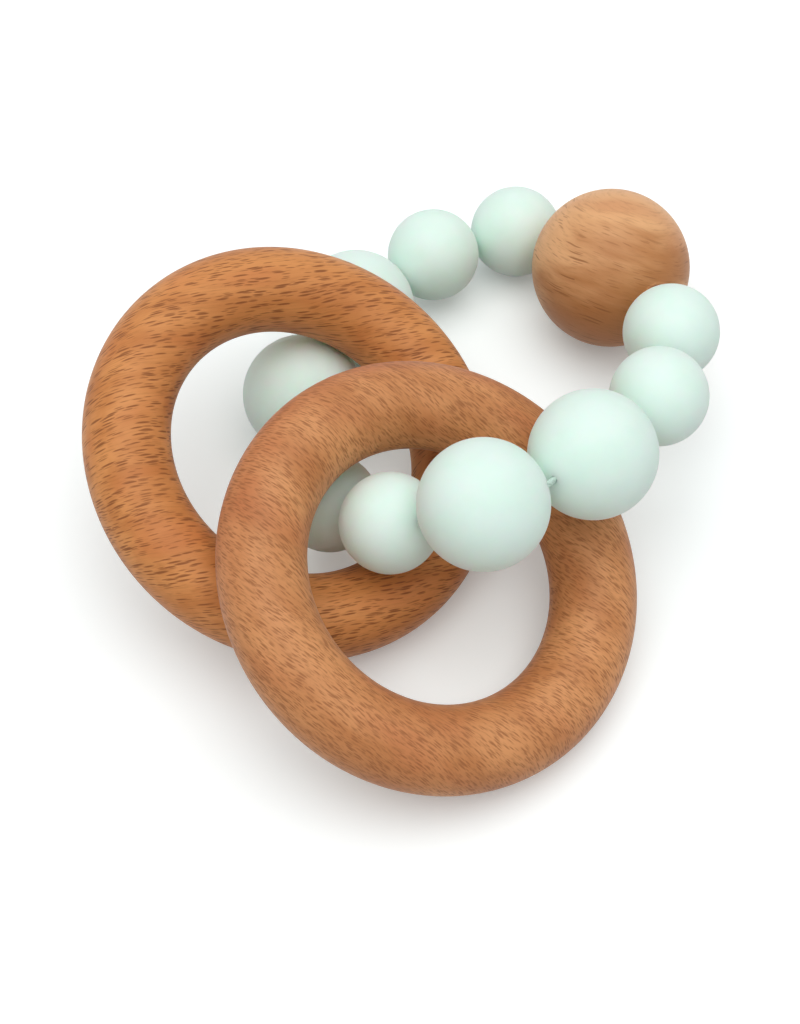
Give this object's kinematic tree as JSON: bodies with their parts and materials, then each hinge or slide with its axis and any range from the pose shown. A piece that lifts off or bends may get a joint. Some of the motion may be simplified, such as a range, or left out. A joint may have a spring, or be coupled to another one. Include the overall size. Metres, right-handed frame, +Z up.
{
  "type": "teething ring",
  "caption": "Teething toy of plain wooden rings linked on a closed string of round silicone beads with a wooden ball, lying loosely at rest.",
  "frame": {"origin": "middle of the footprint, on the table that the toy lies on", "axes": "+Z up from the table; +Y along the longer side of the footprint, from the rings toward the wooden ball; +X to the right seen from the ring side"},
  "size_m": [0.096, 0.1148, 0.0427],
  "materials": {
    "ring_wood": "satin, oiled beech",
    "ball_wood": "satin, oiled beech",
    "silicone": "matte, pale mint",
    "cord": "matte, braided"
  },
  "bodies": {
    "string": {"cord": "cord"},
    "wood_ball": {"wood_ball": "ball_wood"},
    "small_bead_1": {"small_bead_1": "silicone"},
    "small_bead_2": {"small_bead_2": "silicone"},
    "large_bead_1": {"large_bead_1": "silicone"},
    "large_bead_2": {"large_bead_2": "silicone"},
    "small_bead_3": {"small_bead_3": "silicone"},
    "small_bead_4": {"small_bead_4": "silicone"},
    "large_bead_3": {"large_bead_3": "silicone"},
    "large_bead_4": {"large_bead_4": "silicone"},
    "small_bead_5": {"small_bead_5": "silicone"},
    "small_bead_6": {"small_bead_6": "silicone"},
    "ring_front": {"ring_front": "ring_wood"},
    "ring_back": {"ring_back": "ring_wood"}
  },
  "joints": [
    {"name": "wood_ball_turn", "type": "hinge", "parent": "string", "child": "wood_ball", "pos_m": [0.03271, 0.03677, 0.01346], "axis": [0.5027, -0.798, 0.3324], "continuous": true},
    {"name": "small_bead_1_turn", "type": "hinge", "parent": "string", "child": "small_bead_1", "pos_m": [0.04055, 0.01732, 0.02088], "axis": [0.0968, -0.9457, 0.3102], "continuous": true},
    {"name": "small_bead_2_turn", "type": "hinge", "parent": "string", "child": "small_bead_2", "pos_m": [0.03725, 0.00127, 0.02543], "axis": [-0.4438, -0.8651, 0.234], "continuous": true},
    {"name": "large_bead_1_turn", "type": "hinge", "parent": "string", "child": "large_bead_1", "pos_m": [0.02635, -0.01337, 0.03071], "axis": [-0.6415, -0.7025, 0.3083], "continuous": true},
    {"name": "large_bead_2_turn", "type": "hinge", "parent": "string", "child": "large_bead_2", "pos_m": [0.0103, -0.02397, 0.03321], "axis": [-0.9405, -0.1432, -0.308], "continuous": true},
    {"name": "small_bead_3_turn", "type": "hinge", "parent": "string", "child": "small_bead_3", "pos_m": [-0.00288, -0.01945, 0.02212], "axis": [-0.583, 0.4424, -0.6815], "continuous": true},
    {"name": "small_bead_4_turn", "type": "hinge", "parent": "string", "child": "small_bead_4", "pos_m": [-0.01205, -0.00984, 0.01357], "axis": [-0.4152, 0.8573, -0.3045], "continuous": true},
    {"name": "large_bead_3_turn", "type": "hinge", "parent": "string", "child": "large_bead_3", "pos_m": [-0.01673, 0.01388, 0.0096], "axis": [0.044, 0.9944, -0.0959], "continuous": true},
    {"name": "large_bead_4_turn", "type": "hinge", "parent": "string", "child": "large_bead_4", "pos_m": [-0.00856, 0.03148, 0.00955], "axis": [0.6708, 0.7403, 0.0445], "continuous": true},
    {"name": "small_bead_5_turn", "type": "hinge", "parent": "string", "child": "small_bead_5", "pos_m": [0.00407, 0.04344, 0.00906], "axis": [0.7461, 0.6503, -0.143], "continuous": true},
    {"name": "small_bead_6_turn", "type": "hinge", "parent": "string", "child": "small_bead_6", "pos_m": [0.01795, 0.04992, 0.0075], "axis": [0.9891, -0.1094, 0.0983], "continuous": true},
    {"name": "front_ring_lift", "type": "hinge", "parent": "string", "child": "ring_front", "pos_m": [0.02171, -0.00778, 0.01612], "axis": [-0.597, 0.667, 0.4458], "range_deg": [0, 110]},
    {"name": "back_ring_turn", "type": "hinge", "parent": "string", "child": "ring_back", "pos_m": [-0.01737, -0.00353, 0.01835], "axis": [0.3673, -0.2668, 0.891], "continuous": true}
  ]
}
